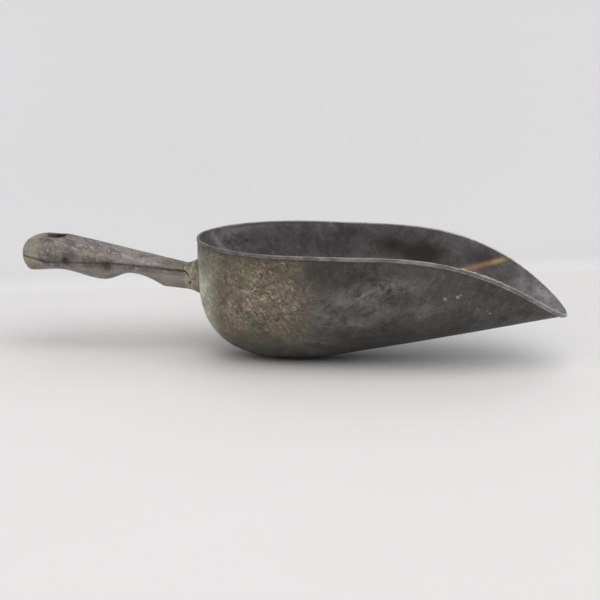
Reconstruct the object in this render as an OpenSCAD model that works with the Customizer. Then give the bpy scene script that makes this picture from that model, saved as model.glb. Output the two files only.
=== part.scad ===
// Cast scoop with a round-bottomed bowl and a two-piece grip on a tang.
// +X points from the handle to the tip of the bowl, +Z up. The origin is under the middle of the
// bounding box, on the surface that the bowl rests on. All sizes are in millimetres.

/* [Bowl] */
// Length from the back of the rim to the tip
bowl_l = 223.5; // [212:0.5:235]
// Width over the bead at the widest place
bowl_w = 104; // [100:1:108]
// Height of the rim above the underside
bowl_h = 73.6; // [71:0.1:76]
// Distance from the back of the rim to the deepest place
dome_l = 62.7; // [59:0.1:68]
// Angle at which the underside rises towards the tip, in degrees
rise = 12; // [11:0.1:12.5]
// Share of the width that is lost between the deepest place and the tip
taper = 0.5; // [0.45:0.01:0.53]
// Distance from the back of the rim to where its sides start to dip
dip_start = 105.8; // [100:0.1:112]
// Thickness of the wall
wall = 2.3; // [2:0.1:2.8]

/* [Rim bead] */
// Height of the bead at the back of the bowl
bead_h = 2; // [1.8:0.1:2.6]
// Height of the bead at the tip
bead_tip_h = 2.5; // [2:0.1:3.2]
// How far the bead stands out of the wall at the sides and the tip
bead_out = 0.7; // [0.4:0.1:1]
// Thickness of the wall where it meets the bead
rim_wall = 1.3; // [1.2:0.1:1.6]

/* [Grip] */
// Length from the butt to the back of the rim
grip_l = 109.7; // [108:0.1:112]
// Widest width, at the hang hole
grip_w = 30; // [28:0.5:32]
// Width at the neck
neck_w = 16.2; // [16:0.2:17.4]
// Height of the top of the grip above the resting surface
grip_top = 71.7; // [71:0.1:73]
// Height of the seam between the two halves along the rear of the grip
seam_z = 56.6; // [56.4:0.1:56.8]
// Height of the seam at the butt
butt_z = 58.7; // [58.4:0.1:58.9]

/* [Tang] */
// Radius of the shank
shank_r = 4.5; // [4:0.1:4.8]
// Height of the shank's axis
shank_z = 47.9; // [47.7:0.1:48.3]
// Thickness of the flat bar inside the grip
bar_t = 4; // [3:0.2:5]
// Radius of the head inside the bowl
head_r = 7.5; // [7:0.1:8.5]

/* [Hang hole and pins] */
// Radius of the hang hole
hang_r = 5.5; // [5:0.05:5.6]
// Radius of the cross pins
pin_r = 1.25; // [1:0.05:1.3]

/* [Hidden] */

fit_gap = 0.05;          // radial clearance of the pins and the shank
face_gap = 0.1;          // clearance between faces that meet
seam_gap = 0.05;         // clearance between the grip's halves
rim_x = (grip_l - bowl_l) / 2;   // back of the rim, so that the origin is mid-length

// Bowl: distances are measured from the back of the rim
section_pow = 2;         // superellipse power of the cross-section at the deepest place
tip_pow = 2.12;          // and at the tip
plan_pow = 1.93;         // power of the back of the rim in plan
back_reach_pow = 2.68;   // powers of the back wall in side view, lengthwise
back_drop_pow = 3.95;    // and in height
side_pow = 2.24;         // power with which the sides draw in towards the tip
dip_pow = 2.6;           // power with which the rim dips towards the tip
keel_blend = 20;         // length over which the underside turns upwards
spine_share = 0.82;      // how far along the keel the mesh lines reach
front_cols = 34;         // mesh lines from the tip to the deepest place, on one side
back_cols = 16;          // mesh lines around half of the back
wall_rows = 16;          // mesh rows from the bead to the keel
bead_corner = 0.55;      // radius of the bead's corners
bead_back_out = 0.25;    // how far the bead stands out at the back
rim_fade = 12;           // depth below the rim over which the wall reaches its full thickness
cols = front_cols + back_cols;

// Collar: distances run from the back of the rim towards the butt
collar_l = 7.8;          // length to the back of the rim
collar_neck_r = neck_w / 2;
collar_flare_r = 10.9;   // radius that the flare reaches on the wall
collar_straight = 0.5;   // length of the collar before it starts to flare
flare_pow = 1.8;         // power with which the radius grows
flare_rings = 9;
flare_past = 0.4;        // how far the last ring of the flare lies inside the wall
flare_end = 6;           // where the collar ends before the wall is cut away
ring_points = 72;
socket_r = 6.5;          // recess that holds the front end of the grip's halves
socket_l = 2.4;

// Grip: x is measured from the back of the rim, so it is negative
neck_x = -collar_l - face_gap;
butt_x = -grip_l;
crest_x = -89.9;         // highest place of the grip
top_slope = 0.21;        // slope of the grip's back towards the neck
top_blend = 12;
seam_slope = 0.1;        // slope of the seam towards the neck
seam_bend_x = -61.3;
seam_blend = 20;
seam_rise_x = -88.3;     // where the seam starts to rise towards the butt
seam_rise_l = 15;
heel_x = -103.9;
heel_z = 48.6;
groove_x = -85.8;        // rear finger groove
groove_z = 50.2;
ridge_x = -57.5;         // ridge between the finger grooves
ridge_z = 44.35;
front_groove_x = -41.5;
front_groove_z = 48.75;
shoulder_x = -20.8;      // square shoulder in front of the grooves
shoulder_z = 41;
neck_z = 39.9;          // underside at the neck
crown_pow = 2.2;         // superellipse power of the grip's cross-section
butt_top_pow = 2.44;     // powers of the butt's outline above the seam
butt_low_pow = 1.54;     // and below it
side_blend = 25;         // length over which the sides start to draw in
butt_steps = 12;
body_steps = 30;
arc_steps = 18;
grip_wall = 3;           // thickness of the halves, which are hollow
hollow_from_x = butt_x + 4.5;
hollow_to_x = shoulder_x - 2;
web_t = 6;               // thickness of the web that carries each pin
boss_r = hang_r + 2.6;   // wall around the hang hole

// Tang
hang_x = -88.1;
eye_r = 7.5;
eye_h = 8;
eye_z = 57.1;
bar_h = 8;
bar_front_x = -11.3;
bar_bend = [-39.3, 55.8];         // where the bar levels out, x and z
bar_back_x = hang_x + eye_r - 1;
head_h = 3.2;
rear_pin = [-79.3, 58.3];         // x and z of the pin through the upper half
front_pin = [-54, 54.3];          // x and z of the pin through the lower half
shank_lap = 3;           // length over which the shank and the bar overlap
head_lap = 4;            // how far the shank reaches into the head, from the back of the rim
cut_reach = 12;          // half-length of the hole for the shank in the wall
channel_lift = 3;        // how far the lower half's channel is open above the bar
drop_gap = 0.5;          // extra width of that channel around the shank
pin_recess = 0.6;        // how far the pins' ends lie below the surface

alloy = [0.36, 0.35, 0.35];
warm_alloy = [0.45, 0.44, 0.38];
core_metal = [0.5, 0.5, 0.5];

// ---- shared functions ----

// A level line that turns smoothly into a slope of 1 over the length b.
function bend(s, b) = s <= 0 ? 0 : s < b ? s * s / (2 * b) : s - b / 2;

// Quarter of a superellipse: 1 at u = 0, 0 at u = 1.
function quarter(u, p) = pow(max(0, 1 - pow(min(1, max(0, u)), p)), 1 / p);

// Smooth step between two levels with level ends.
function ease(x, x0, x1, z0, z1) =
    z0 + (z1 - z0) * (1 - cos(180 * min(1, max(0, (x - x0) / (x1 - x0))))) / 2;

function unit(v) = v / norm(v);

// ---- bowl ----

wall_w = bowl_w - 2 * bead_out;
wall_l = dome_l - bead_back_out;

function front_share(x) = (x - dome_l) / (bowl_l - dome_l);
function half_width(x) = wall_w / 2 * (1 - taper * pow(max(0, front_share(x)), side_pow));
function keel_depth(x) = bowl_h - tan(rise) * bend(x - dome_l, keel_blend);
function rim_depth(x) = keel_depth(bowl_l) * pow(max(0, (x - dip_start) / (bowl_l - dip_start)), dip_pow);
function section_at(x) = section_pow + (tip_pow - section_pow) * max(0, front_share(x));
function rim_angle(x) = asin(min(1, pow(rim_depth(x) / keel_depth(x), section_at(x) / 2)));

// Point of the outer wall in front of the deepest place: angle 0 is level with the rim, 90 is the keel.
function front_point(x, angle) =
    let (e = 2 / section_at(x))
    [x, half_width(x) * pow(max(0, cos(angle)), e), bowl_h - keel_depth(x) * pow(max(0, sin(angle)), e)];

// Point of the outer wall behind it: turn 0 is to the side, 90 is straight back.
function back_point(turn, angle) =
    let (part = pow(sin(turn), 2),
         drop = pow(max(0, sin(angle)), 2 / blend_pow(back_drop_pow, part)),
         reach = pow(max(0, cos(angle)), 2 / blend_pow(back_reach_pow, part)))
    [dome_l - reach * wall_l * pow(max(0, sin(turn)), 2 / plan_pow),
     reach * wall_w / 2 * pow(max(0, cos(turn)), 2 / plan_pow),
     bowl_h - bowl_h * drop];

// Power between the one at the sides and the given one at the back.
function blend_pow(power, part) = section_pow + (power - section_pow) * part;

// The outer wall as one sheet. q runs from the tip (0) along the side to the middle of the back
// (cols), g runs from the rim (0) to the keel (1).
function sheet(q, g) =
    q < 0 ? mirror_y(sheet(-q, g)) :
    q > cols ? mirror_y(sheet(2 * cols - q, g)) :
    q >= front_cols ? back_point(90 * (q - front_cols) / back_cols, 90 * g) :
    let (x = dome_l + (bowl_l - dome_l) * cos(90 * q / front_cols),
         start = rim_angle(x),
         spine = dome_l + (x - dome_l) * spine_share)
    front_point(x + (spine - x) * g, start + (90 - start) * g);

function mirror_y(p) = [p[0], -p[1], p[2]];

// Outward normal of the sheet.
function sheet_normal(q, g) =
    g > 0.999 ? keel_normal(sheet(q, 1)[0]) :
    let (dq = 0.02,
         dg = 0.002,
         along = sheet(q + dq, g) - sheet(q - dq, g),
         down = sheet(q, min(1, g + dg)) - sheet(q, max(0, g - dg)))
    unit(cross(down, along));

function keel_normal(x) =
    let (s = x - dome_l, slope = tan(rise) * (s <= 0 ? 0 : min(1, s / keel_blend)))
    unit([slope, 0, -1]);

// Share of a mesh line that the given length below the rim takes up.
function share_of(q, length, low = 0, high = 0.5, steps = 14) =
    steps == 0 ? high :
    let (mid = (low + high) / 2)
    norm(sheet(q, mid) - sheet(q, 0)) < length
        ? share_of(q, length, mid, high, steps - 1)
        : share_of(q, length, low, mid, steps - 1);

function bead_height(q) =
    bead_h + (bead_tip_h - bead_h) * pow(max(0, cos(90 * min(1, q / front_cols))), 2);
function bead_reach(q) =
    bead_back_out + (bead_out - bead_back_out) * pow(cos(90 * max(0, q - front_cols) / back_cols), 2);

// Thickness of the wall at a length below the rim.
function wall_at(length) = wall - (wall - rim_wall) * pow(max(0, 1 - length / rim_fade), 2);

// Outline of the bead from the inner wall over the top to the outer wall, as [out, down] pairs.
function bead_outline(h, reach) =
    let (c = bead_corner)
    concat(
        [for (a = [0 : 30 : 90]) [-rim_wall + c * (1 - cos(a)), c * (1 - sin(a))]],
        [for (a = [0 : 30 : 90]) [reach - c * (1 - sin(a)), c * (1 - cos(a))]],
        [for (a = [0 : 45 : 90]) [reach * cos(a), h - reach * (1 - sin(a))]]);

bead_points = 11;
profile_points = 2 * wall_rows + bead_points;

// One mesh line: inner keel, inner wall, bead, outer wall, outer keel.
function bowl_line(q) =
    let (h = bead_height(q),
         reach = bead_reach(q),
         first = share_of(q, h + reach / 2),
         out = sheet_normal(q, 0),
         along = unit(sheet(q + 0.02, 0) - sheet(q - 0.02, 0)),
         down = cross(along, out),
         rim = sheet(q, 0),
         shares = [for (j = [0 : wall_rows - 1]) first + (1 - first) * j / (wall_rows - 1)])
    concat(
        [for (j = [wall_rows - 1 : -1 : 0])
            let (p = sheet(q, shares[j]))
            p - wall_at(norm(p - rim)) * sheet_normal(q, shares[j])],
        [for (p = bead_outline(h, reach)) rim + p[0] * out + p[1] * down],
        [for (g = shares) sheet(q, g)]);

// Mesh lines that meet on the keel share its points.
function keel_column(c) =
    let (side = min(c, 2 * cols - c)) min(side, front_cols);
function bowl_index(c, j) =
    let (k = c % (2 * cols), at_keel = j == 0 || j == profile_points - 1)
    (at_keel ? keel_column(k) : k) * profile_points + j;

module bowl_shell() {
    half = [for (q = [0 : cols]) bowl_line(q)];
    points = [for (c = [0 : 2 * cols - 1], j = [0 : profile_points - 1])
        c <= cols ? half[c][j] : mirror_y(half[2 * cols - c][j])];
    faces = [for (c = [0 : 2 * cols - 1], j = [0 : profile_points - 2])
        let (a = bowl_index(c, j), b = bowl_index(c + 1, j),
             d = bowl_index(c + 1, j + 1), e = bowl_index(c, j + 1))
        each [if (a != b) [a, b, d], if (d != e) [a, d, e]]];
    polyhedron(points = points, faces = faces, convexity = 6);
}

// Where a line along X at height z and side y meets the back wall, t below its outer surface.
function back_wall_x(y, z, t) =
    let (depth = (bowl_h - z) / (bowl_h - t),
         half_w = wall_w / 2 - t,
         side0 = pow(abs(y) / (reach_at(depth, 1) * half_w), plan_pow),
         reach = reach_at(depth, 1 - side0))
    dome_l - reach * (wall_l - t) * quarter(abs(y) / (reach * half_w), plan_pow);

// Reach of the back wall at a share of the depth; part is 1 straight back and 0 at the sides.
function reach_at(depth, part) =
    pow(1 - pow(depth, blend_pow(back_drop_pow, part)), 1 / blend_pow(back_reach_pow, part));

// Block that fills the space in front of the back wall's surface around the shank.
module wall_block(t, reach = 15, steps = 14) {
    levels = [for (i = [0 : steps]) shank_z - reach + 2 * reach * i / steps];
    loft([for (i = [0 : steps])
        let (y = -reach + 2 * reach * i / steps)
        concat([for (z = levels) [back_wall_x(y, z, t), y, z]],
               [[2 * reach, y, shank_z + reach], [2 * reach, y, shank_z - reach]])], true);
}

// Solid through a row of sections with equal numbers of points.
module loft(sections, flip) {
    n = len(sections[0]);
    last = len(sections) - 1;
    sides = [for (s = [0 : last - 1], i = [0 : n - 1])
        let (a = s * n + i, b = s * n + (i + 1) % n)
        each [[a, b, b + n], [a, b + n, a + n]]];
    ends = [[for (i = [n - 1 : -1 : 0]) i], [for (i = [0 : n - 1]) last * n + i]];
    faces = concat(sides, ends);
    polyhedron(
        points = [for (section = sections) each section],
        faces = flip ? [for (f = faces) [for (i = [len(f) - 1 : -1 : 0]) f[i]]] : faces,
        convexity = 6);
}

// ---- grip ----

function crest_share(x) = (crest_x - x) / (crest_x - butt_x);
function seam_at(x) =
    ease(x, seam_rise_x - seam_rise_l, seam_rise_x, butt_z, seam_z) - seam_slope * bend(x - seam_bend_x, seam_blend);
function top_at(x) =
    x < crest_x ? butt_z + (grip_top - butt_z) * quarter(crest_share(x), butt_top_pow)
                : grip_top - top_slope * bend(x - crest_x, top_blend);
function bottom_at(x) =
    x < heel_x ? butt_z - (butt_z - heel_z) * quarter((heel_x - x) / (heel_x - butt_x), butt_low_pow) :
    x < groove_x ? ease(x, heel_x, groove_x, heel_z, groove_z) :
    x < ridge_x ? ease(x, groove_x, ridge_x, groove_z, ridge_z) :
    x < front_groove_x ? ease(x, ridge_x, front_groove_x, ridge_z, front_groove_z) :
    x < shoulder_x ? front_groove_z - (front_groove_z - shoulder_z)
                     * (1 - cos(90 * (x - front_groove_x) / (shoulder_x - front_groove_x))) :
    shoulder_z + (neck_z - shoulder_z) * (x - shoulder_x) / (neck_x - shoulder_x);

side_slope = (grip_w - neck_w) / 2 / bend(neck_x - crest_x, side_blend);
function side_at(x) =
    x < crest_x ? grip_w / 2 * quarter(crest_share(x), crown_pow)
                : grip_w / 2 - side_slope * bend(x - crest_x, side_blend);

// Stations along the grip: close together around the butt, and one on the shoulder's crease.
butt_stations = [for (i = [1 : butt_steps]) butt_x + (crest_x - butt_x) * (1 - cos(90 * i / butt_steps))];
body_stations = [for (i = [1 : body_steps]) crest_x + (shoulder_x - crest_x) * i / body_steps];
neck_stations = [for (i = [1 : 4]) shoulder_x + (neck_x - shoulder_x) * i / 4];
stations = concat([butt_x + 0.02], butt_stations, body_stations, neck_stations);

// Cross-section of one half: an arch over the seam, upwards or downwards.
function half_section(x, height) =
    [for (i = [0 : arc_steps])
        let (a = 180 * i / arc_steps, c = cos(a))
        [x, side_at(x) * sign(c) * pow(abs(c), 2 / crown_pow), seam_at(x) + height * pow(sin(a), 2 / crown_pow)]];

// Hollow of one half, open at the seam.
function hollow_section(x, height) =
    let (w = side_at(x) - grip_wall,
         h = height - sign(height) * grip_wall,
         past_seam = seam_at(x) - sign(height))
    concat([[x, w, past_seam]],
        [for (i = [0 : arc_steps])
            let (a = 180 * i / arc_steps, c = cos(a))
            [x, w * sign(c) * pow(abs(c), 2 / crown_pow), seam_at(x) + h * pow(sin(a), 2 / crown_pow)]],
        [[x, -w, past_seam]]);

hollow_stations = [for (x = stations) if (x > hollow_from_x && x < hollow_to_x) x];

// Hollow with the wall around the hang hole and the web at the pin left standing.
module hollow(sections, flip, pin_x) {
    difference() {
        loft(sections, flip);
        translate([pin_x - web_t / 2, -grip_w, 0])
            cube([web_t, 2 * grip_w, 2 * grip_top]);
        translate([hang_x, 0, 0])
            cylinder(r = boss_r, h = 2 * grip_top, $fn = 64);
    }
}

// Cylinder along X from x0 to x1 on the shank's axis.
module axis_rod(r, x0, x1) {
    translate([x0, 0, shank_z])
        rotate([0, 90, 0])
            cylinder(r = r, h = x1 - x0, $fn = 64);
}

module cross_rod(place, r, half_length) {
    translate([place[0], 0, place[1]])
        rotate([90, 0, 0])
            cylinder(r = r, h = 2 * half_length, center = true, $fn = 32);
}

module hang_hole() {
    translate([hang_x, 0, 0])
        cylinder(r = hang_r, h = 2 * grip_top, $fn = 64);
}

// Flat bar, grown by gap all round and with its upper edge raised by lift.
module bar_plate(gap, lift) {
    low = -bar_h / 2 - gap;
    high = bar_h / 2 + gap + lift;
    rotate([90, 0, 0])
        linear_extrude(height = bar_t + 2 * gap, center = true)
            polygon([
                [bar_back_x, eye_z + low],
                [bar_bend[0], bar_bend[1] + low],
                [bar_front_x + gap, shank_z + low],
                [bar_front_x + gap, shank_z + high],
                [bar_bend[0], bar_bend[1] + high],
                [bar_back_x, eye_z + high]]);
}

module eye_disc(gap) {
    translate([hang_x, 0, eye_z - eye_h / 2 - gap])
        cylinder(r = eye_r + gap, h = eye_h + 2 * gap, $fn = 64);
}

// Room for the tang in one half. The lower half's channel is open upwards, so that the tang drops in.
module tang_room(lift) {
    bar_plate(face_gap, lift);
    eye_disc(face_gap);
    axis_rod(shank_r + fit_gap, bar_front_x - shank_lap - 1, 1);
    if (lift > 0)
        translate([bar_front_x - shank_lap - 1, -shank_r - drop_gap, shank_z])
            cube([-bar_front_x, 2 * (shank_r + drop_gap), shank_r + lift]);
}

// ---- sub-parts ----

module bowl() {
    color(alloy)
        translate([rim_x, 0, 0])
            difference() {
                bowl_shell();
                axis_rod(shank_r + fit_gap, -cut_reach, cut_reach);
            }
}

module collar() {
    color(warm_alloy)
        translate([rim_x, 0, 0])
            difference() {
                loft(flare_sections(), true);
                translate([-face_gap, 0, 0])
                    wall_block(0);
                axis_rod(shank_r + fit_gap, -collar_l - 1, flare_end);
                axis_rod(socket_r, -collar_l - 1, socket_l - collar_l);
            }
}

function flare_r(share) = collar_neck_r + (collar_flare_r - collar_neck_r) * pow(share, flare_pow);

// Rings of the collar from the neck to inside the bowl's wall. Each ring's radius grows along the
// flare, and its distance follows the wall, so that the flare runs out on the wall all round.
function flare_sections() =
    let (start = collar_straight - collar_l)
    concat(
        [ring(collar_neck_r, -collar_l, 0, 0)],
        [for (i = [0 : flare_rings])
            let (share = i / flare_rings)
            ring(flare_r(share), start, share, flare_past)],
        [ring(collar_flare_r, flare_end, 0, 0)]);

// Ring around the shank's axis, a share of the way from the plane at start to just past the wall.
function ring(r, start, share, past) =
    [for (i = [0 : ring_points - 1])
        let (a = 360 * i / ring_points, y = r * cos(a), z = shank_z + r * sin(a))
        [start + share * (back_wall_x(y, z, 0) + past - start), y, z]];

module handle_upper() {
    color(alloy)
        translate([rim_x, 0, 0])
            difference() {
                union() {
                    loft([for (x = stations) half_section(x, top_at(x) - seam_at(x))], true);
                    spigot(true);
                }
                hollow([for (x = hollow_stations) hollow_section(x, top_at(x) - seam_at(x))],
                       true, rear_pin[0]);
                tang_room(0);
                hang_hole();
                cross_rod(rear_pin, pin_r + fit_gap, grip_w);
            }
}

module handle_lower() {
    color(alloy)
        translate([rim_x, 0, -seam_gap])
            difference() {
                union() {
                    loft([for (x = stations) half_section(x, bottom_at(x) - seam_at(x))], false);
                    spigot(false);
                }
                hollow([for (x = hollow_stations) hollow_section(x, bottom_at(x) - seam_at(x))],
                       false, front_pin[0]);
                translate([0, 0, seam_gap]) {
                    tang_room(channel_lift);
                    hang_hole();
                    cross_rod(front_pin, pin_r + fit_gap, grip_w);
                }
            }
}

// Half-round end of the grip that sits in the collar's recess.
module spigot(upper) {
    top = seam_at(neck_x);
    intersection() {
        axis_rod(socket_r - face_gap, neck_x - 1, neck_x + socket_l);
        translate([neck_x - 2, -socket_r, upper ? top : top - 4 * socket_r])
            cube([2 * socket_l + 2, 2 * socket_r, 4 * socket_r]);
    }
}

module tang() {
    color(core_metal)
        translate([rim_x, 0, 0])
            difference() {
                union() {
                    axis_rod(shank_r, bar_front_x - shank_lap, head_lap);
                    bar_plate(0, 0);
                    eye_disc(0);
                    head();
                }
                hang_hole();
                cross_rod(rear_pin, pin_r + fit_gap, grip_w);
                cross_rod(front_pin, pin_r + fit_gap, grip_w);
            }
}

// Domed head that is formed against the inside of the bowl.
module head() {
    flat = 2.5;
    intersection() {
        translate([0, 0, shank_z])
            rotate([0, 90, 0])
                rotate_extrude($fn = 64)
                    polygon(concat(
                        [[0, 0], [head_r, 0], [head_r, wall + flat]],
                        [for (a = [10 : 10 : 90]) [head_r * cos(a), wall + flat + head_h * sin(a)]]));
        translate([face_gap, 0, 0])
            wall_block(wall);
    }
}

module handle_pins() {
    color(core_metal)
        translate([rim_x, 0, 0]) {
            cross_rod(rear_pin, pin_r, side_at(rear_pin[0]) - pin_recess);
            cross_rod(front_pin, pin_r, side_at(front_pin[0]) - pin_recess);
        }
}

bowl();
collar();
handle_upper();
handle_lower();
tang();
handle_pins();
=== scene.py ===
"""Looks of a cast aluminium ice scoop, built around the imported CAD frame.

The bowl, the collar and the two halves of the grip are dense meshes with the wear of an old casting.
The tang and the cross pins are the CAD's own solids with a new material. All shape work is in
millimetres, in the CAD's frame, and is turned into metres when a mesh is made.
"""

import itertools
import math

import bpy
import numpy as np
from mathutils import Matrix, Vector


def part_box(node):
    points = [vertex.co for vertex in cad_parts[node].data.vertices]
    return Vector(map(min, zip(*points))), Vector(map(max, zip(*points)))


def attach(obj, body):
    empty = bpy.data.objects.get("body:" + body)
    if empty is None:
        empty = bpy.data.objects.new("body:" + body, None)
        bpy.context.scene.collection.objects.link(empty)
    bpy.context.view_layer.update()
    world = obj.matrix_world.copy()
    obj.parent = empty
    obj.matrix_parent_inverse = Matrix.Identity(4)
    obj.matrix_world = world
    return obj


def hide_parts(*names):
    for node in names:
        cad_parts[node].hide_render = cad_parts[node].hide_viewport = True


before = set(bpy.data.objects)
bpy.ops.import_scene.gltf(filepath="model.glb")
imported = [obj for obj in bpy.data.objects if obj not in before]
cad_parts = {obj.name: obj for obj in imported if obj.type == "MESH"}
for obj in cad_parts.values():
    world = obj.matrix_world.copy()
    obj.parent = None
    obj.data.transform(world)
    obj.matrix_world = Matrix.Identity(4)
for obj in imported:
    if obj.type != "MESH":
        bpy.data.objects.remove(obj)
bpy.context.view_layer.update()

MM = 0.001


def box_mm(node):
    """Lowest and highest corners of a CAD node in millimetres."""
    low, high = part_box(node)
    return np.array(low) / MM, np.array(high) / MM


BOWL_LOW, BOWL_HIGH = box_mm("bowl")
COLLAR_LOW = box_mm("collar")[0]
UPPER_LOW, UPPER_HIGH = box_mm("handle_upper")

# ---- driving sizes, from the frame ----
BOWL_L = BOWL_HIGH[0] - BOWL_LOW[0]
BOWL_W = BOWL_HIGH[1] - BOWL_LOW[1]
BOWL_H = BOWL_HIGH[2]
RIM_X = BOWL_LOW[0]  # back of the rim; every x below is measured from it
BUTT_X = UPPER_LOW[0] - RIM_X
GRIP_W = UPPER_HIGH[1] - UPPER_LOW[1]
GRIP_TOP = UPPER_HIGH[2]
COLLAR_L = RIM_X - COLLAR_LOW[0]

# ---- bowl ----
WALL = 2.3  # thickness of the sheet
RIM_WALL = 1.3  # its thickness under the bead
RIM_FADE = 12.0
DOME_L = 62.7  # distance to the deepest place
RISE = math.tan(math.radians(12))  # slope of the underside towards the tip
KEEL_BLEND = 20.0
TAPER = 0.5
DIP_START = 105.8  # where the sides start to dip
DIP_POW = 2.6
SIDE_POW = 2.24
SECTION_POW = 2.0
TIP_POW = 2.12
PLAN_POW = 1.93
BACK_REACH_POW = 2.68
BACK_DROP_POW = 3.95
SPINE_SHARE = 0.82
BEAD_H = 2.0
BEAD_TIP_H = 2.5
BEAD_OUT = 0.7
BEAD_BACK_OUT = 0.25
BEAD_CORNER = 0.55
BEAD_TIP_CORNER = 0.4
WALL_W = BOWL_W - 2 * BEAD_OUT
WALL_L = DOME_L - BEAD_BACK_OUT
FRONT_LINES = 300  # mesh lines from the tip to the deepest place, on one side
BACK_LINES = 120
WALL_ROWS = 140

# ---- collar: distances from its neck ----
SHANK_Z = 47.9  # height of its axis
FLARE_R = 10.9
FLARE_POW = 1.8
COLLAR_STRAIGHT = 0.5
SOCKET_R = 6.5
SOCKET_L = 2.4
SHANK_R = 4.55
COLLAR_SIDES = 260
COLLAR_RINGS = 60

# ---- grip ----
NECK_X = -COLLAR_L - 0.1
NECK_R = 8.1
CREST_X = -89.9
SEAM_Z = 56.6
BUTT_Z = 58.7  # height of the seam at the butt
GRIP_POW = 2.2
BUTT_TOP_POW = 2.44
BUTT_LOW_POW = 1.54
HANG_X = -88.1
HANG_R = 5.5
GRIP_STATIONS = 330
ARC_STEPS = 150

# ---- marks ----
CLEAR_OF_FLOOR = 8.0  # height over which the unevenness fades out above the floor


# =============================== shared maths ===============================

def bend(s, blend):
    """A level line that turns smoothly into a slope of 1 over the length blend."""
    return np.where(s <= 0, 0.0, np.where(s < blend, s * s / (2 * blend), s - blend / 2))


def quarter(u, power):
    """Quarter of a superellipse: 1 at u = 0 and 0 at u = 1."""
    return np.maximum(0.0, 1 - np.clip(u, 0, 1) ** power) ** (1 / power)


def ease(x, x0, x1, z0, z1):
    """Smooth step from z0 to z1 with level ends."""
    return z0 + (z1 - z0) * (1 - np.cos(np.pi * np.clip((x - x0) / (x1 - x0), 0, 1))) / 2


def ramp(x, low, high):
    """0 up to low and 1 from high on, with a smooth run between them. low may be the larger one."""
    t = np.clip((x - low) / (high - low), 0, 1)
    return t * t * (3 - 2 * t)


def hump(x, centre, width):
    """Bell curve that is 1 at its centre."""
    return np.exp(-(((x - centre) / width) ** 2))


def unit(v):
    """Vectors scaled to length 1."""
    return v / np.maximum(np.linalg.norm(v, axis=-1, keepdims=True), 1e-12)


def lattice(cell, seed):
    """Repeatable value between 0 and 1 for each whole-numbered place."""
    h = cell[..., 0] * 374761393 + cell[..., 1] * 668265263 + cell[..., 2] * 1440662683 + seed * 974634777
    h = (h ^ (h >> 13)) * 1274126177
    h = h ^ (h >> 16)
    return (h & 0xFFFF) / 0xFFFF


def lumps(points, size, seed):
    """Smooth noise from -1 to 1 with lumps of the given size."""
    place = np.asarray(points) / size
    cell = np.floor(place).astype(np.int64)
    f = place - cell
    f = f * f * (3 - 2 * f)
    total = np.zeros(place.shape[:-1])
    for corner in itertools.product((0, 1), repeat=3):
        weight = np.prod(np.where(np.array(corner) == 1, f, 1 - f), axis=-1)
        total += weight * lattice(cell + np.array(corner), seed)
    return 2 * total - 1


def cast_skin(points, seed):
    """Unevenness of a sand casting in mm: slow waves, shallow lumps and a fine tooth."""
    return (0.16 * lumps(points, 34, seed) + 0.05 * lumps(points, 11, seed + 1)
            + 0.018 * lumps(points, 4.2, seed + 2) + 0.008 * lumps(points, 1.9, seed + 3))


def grid_normals(grid, closed):
    """Unit normals of a grid of points; the first axis may close on itself."""
    if closed:
        along = np.roll(grid, -1, axis=0) - np.roll(grid, 1, axis=0)
    else:
        along = np.gradient(grid, axis=0)
    across = np.gradient(grid, axis=1)
    return unit(np.cross(along, across))


# =============================== mesh helpers ===============================

def make_piece(name, points, faces, materials, face_materials=None):
    """Mesh object from points in mm measured from the back of the rim."""
    mesh = bpy.data.meshes.new(name)
    placed = (np.asarray(points) + [RIM_X, 0, 0]) * MM
    mesh.from_pydata(placed.tolist(), [], faces)
    for material in materials:
        mesh.materials.append(material)
    if face_materials is not None:
        mesh.polygons.foreach_set("material_index", face_materials)
    mesh.polygons.foreach_set("use_smooth", [True] * len(mesh.polygons))
    mesh.update()
    piece = bpy.data.objects.new(name, mesh)
    bpy.context.scene.collection.objects.link(piece)
    return piece


def piece_points(piece):
    """Points of a piece in mm from the back of the rim."""
    flat = np.empty(len(piece.data.vertices) * 3)
    piece.data.vertices.foreach_get("co", flat)
    return flat.reshape(-1, 3) / MM - [RIM_X, 0, 0]


def paint(piece, name, values):
    """Stores one value per point for the materials to read."""
    layer = piece.data.attributes.new(name, "FLOAT", "POINT")
    layer.data.foreach_set("value", np.clip(values, 0, 1).astype(np.float32))


def cut(piece, cutters):
    """Takes the cutters out of a piece and removes them."""
    bpy.context.view_layer.objects.active = piece
    for cutter in cutters:
        step = piece.modifiers.new("cut", "BOOLEAN")
        step.operation = "DIFFERENCE"
        step.solver = "EXACT"
        step.object = cutter
        bpy.ops.object.modifier_apply(modifier=step.name)
        bpy.data.objects.remove(cutter)


def revolved_cutter(name, place, axis, outline, sides=96):
    """Closed solid of revolution for cutting. outline is a list of (radius, distance along the axis)."""
    ring = np.linspace(0, 2 * np.pi, sides, endpoint=False)
    points = []
    for radius, reach in outline:
        for a in ring:
            u, v = radius * math.cos(a), radius * math.sin(a)
            points.append((u, v, reach) if axis == "z" else (u, reach, -v))
    faces = []
    for s in range(len(outline) - 1):
        for i in range(sides):
            a, b = s * sides + i, s * sides + (i + 1) % sides
            faces.append((a, b, b + sides, a + sides))
    faces.append(tuple(range(sides - 1, -1, -1)))
    faces.append(tuple(range((len(outline) - 1) * sides, len(outline) * sides)))
    return make_piece(name, np.array(points) + place, faces, [])


# =============================== materials ===============================

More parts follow.
